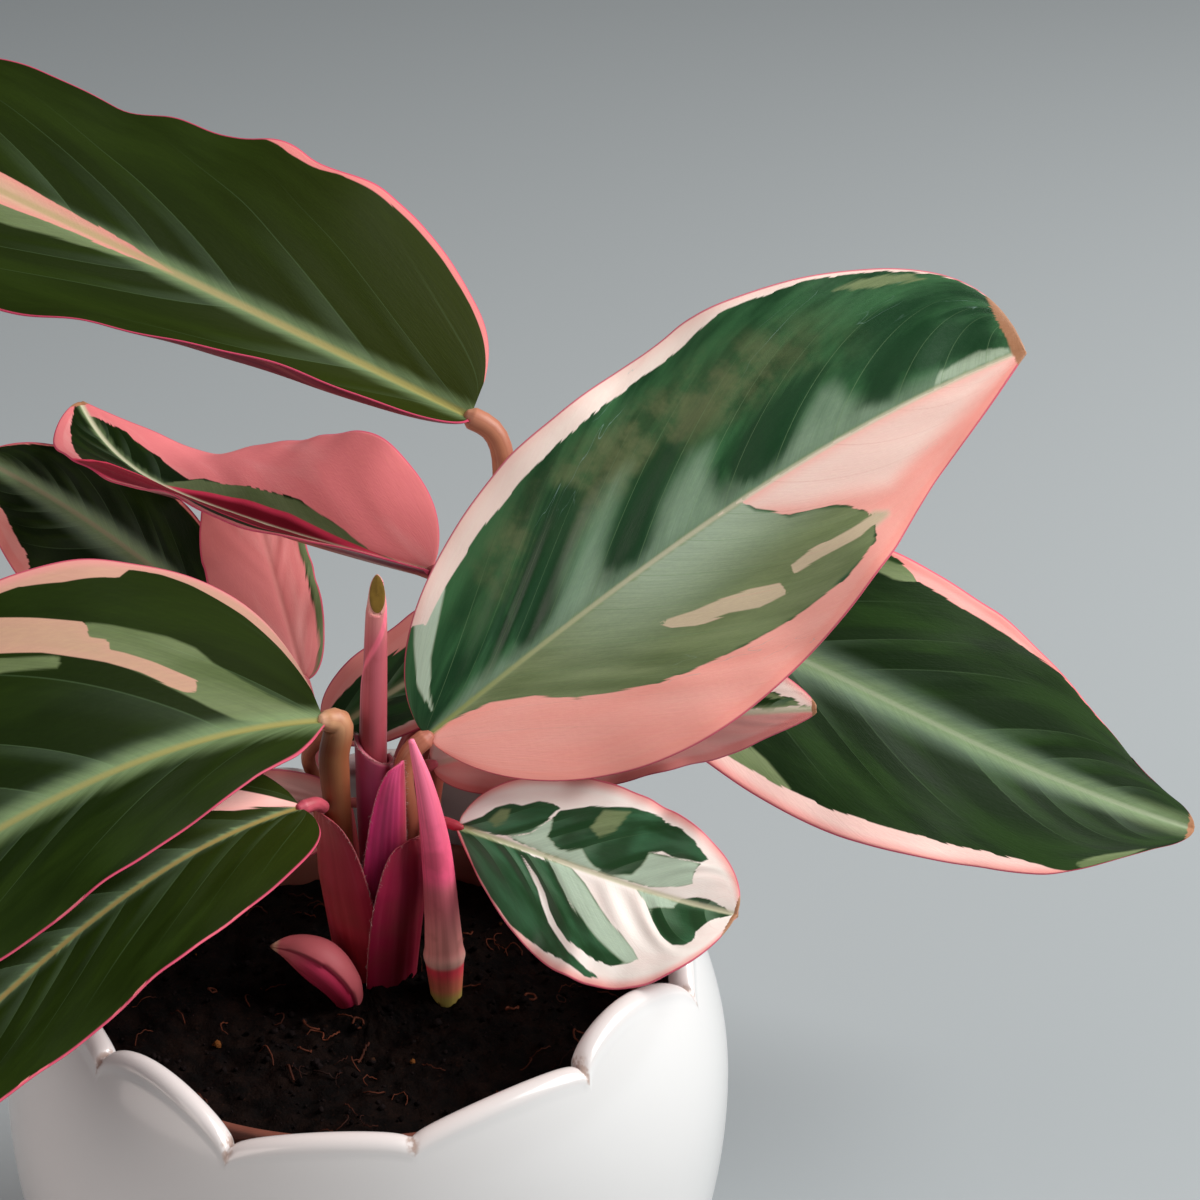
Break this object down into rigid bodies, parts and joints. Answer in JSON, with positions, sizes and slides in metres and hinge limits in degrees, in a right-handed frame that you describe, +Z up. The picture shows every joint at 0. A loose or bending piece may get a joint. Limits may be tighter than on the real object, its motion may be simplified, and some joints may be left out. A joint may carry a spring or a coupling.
{
  "type": "potted stromanthe",
  "caption": "Stromanthe with green, cream and pink leaves on sheathed crimson stems, growing in a nursery pot inside a white glazed planter with a scalloped rim.",
  "frame": {"origin": "centre of the planter's flat base, where it rests on a surface", "axes": "+Z up; the planter's front, with the bud and the low leaves, faces -Y; +X to its right"},
  "size_m": [0.2686, 0.1965, 0.2253],
  "materials": {
    "planter": "white gloss glaze, brown where the glaze thins at the rim",
    "nursery_pot": "reddish brown, matte",
    "soil": "dark peat with fibres, matte",
    "leaf_main": "dark green blade with cream streaks and a pink margin, satin",
    "leaf_under": "pink blade, green towards the tip, satin",
    "leaf_small": "white and pink blade with green patches, satin",
    "leaf_right_back": "dark green blade with a pale rib and a pink margin, satin",
    "leaf_top_left": "dark olive green blade with a pink rib, satin",
    "leaf_left_fold": "folded pink blade, crimson below, satin",
    "leaf_left_dark": "dark green blade with a pale rib, satin",
    "leaf_pink_back": "pink blade, satin",
    "leaf_left_front": "dark green blade with a pink and cream stripe, satin",
    "leaf_low_front": "dark green blade, pink on its far half, satin",
    "leaf_behind": "dark green blade with a pink margin, satin",
    "leaf_low_back": "pale pink blade, satin",
    "stalk_main": "leaf stalk, satin",
    "stalk_under": "leaf stalk, satin",
    "stalk_small": "leaf stalk, satin",
    "stalk_right_back": "leaf stalk, satin",
    "stalk_top_left": "leaf stalk, satin",
    "stalk_left_fold": "leaf stalk, satin",
    "stalk_left_dark": "leaf stalk, satin",
    "stalk_pink_back": "leaf stalk, satin",
    "stalk_left_front": "leaf stalk, satin",
    "stalk_low_front": "leaf stalk, satin",
    "stalk_behind": "leaf stalk, satin",
    "stalk_low_back": "leaf stalk, satin",
    "new_leaf": "rolled new leaf, satin",
    "side_shoot": "crimson shoot, satin",
    "bud": "crimson bud, satin",
    "sheath_front_left": "crimson sheath with a papery edge, satin",
    "sheath_front_right": "dark crimson sheath with a papery edge, satin",
    "sheath_right": "bright crimson sheath with a papery edge, satin",
    "sheath_spike": "magenta sheath with a papery edge, satin"
  },
  "bodies": {
    "root": {"planter": "planter", "nursery_pot": "nursery_pot", "soil": "soil", "leaf_main": "leaf_main", "leaf_under": "leaf_under", "leaf_small": "leaf_small", "leaf_right_back": "leaf_right_back", "leaf_top_left": "leaf_top_left", "leaf_left_fold": "leaf_left_fold", "leaf_left_dark": "leaf_left_dark", "leaf_pink_back": "leaf_pink_back", "leaf_left_front": "leaf_left_front", "leaf_low_front": "leaf_low_front", "leaf_behind": "leaf_behind", "leaf_low_back": "leaf_low_back", "stalk_main": "stalk_main", "stalk_under": "stalk_under", "stalk_small": "stalk_small", "stalk_right_back": "stalk_right_back", "stalk_top_left": "stalk_top_left", "stalk_left_fold": "stalk_left_fold", "stalk_left_dark": "stalk_left_dark", "stalk_pink_back": "stalk_pink_back", "stalk_left_front": "stalk_left_front", "stalk_low_front": "stalk_low_front", "stalk_behind": "stalk_behind", "stalk_low_back": "stalk_low_back", "new_leaf": "new_leaf", "side_shoot": "side_shoot", "bud": "bud", "sheath_front_left": "sheath_front_left", "sheath_front_right": "sheath_front_right", "sheath_right": "sheath_right", "sheath_spike": "sheath_spike"}
  },
  "joints": []
}
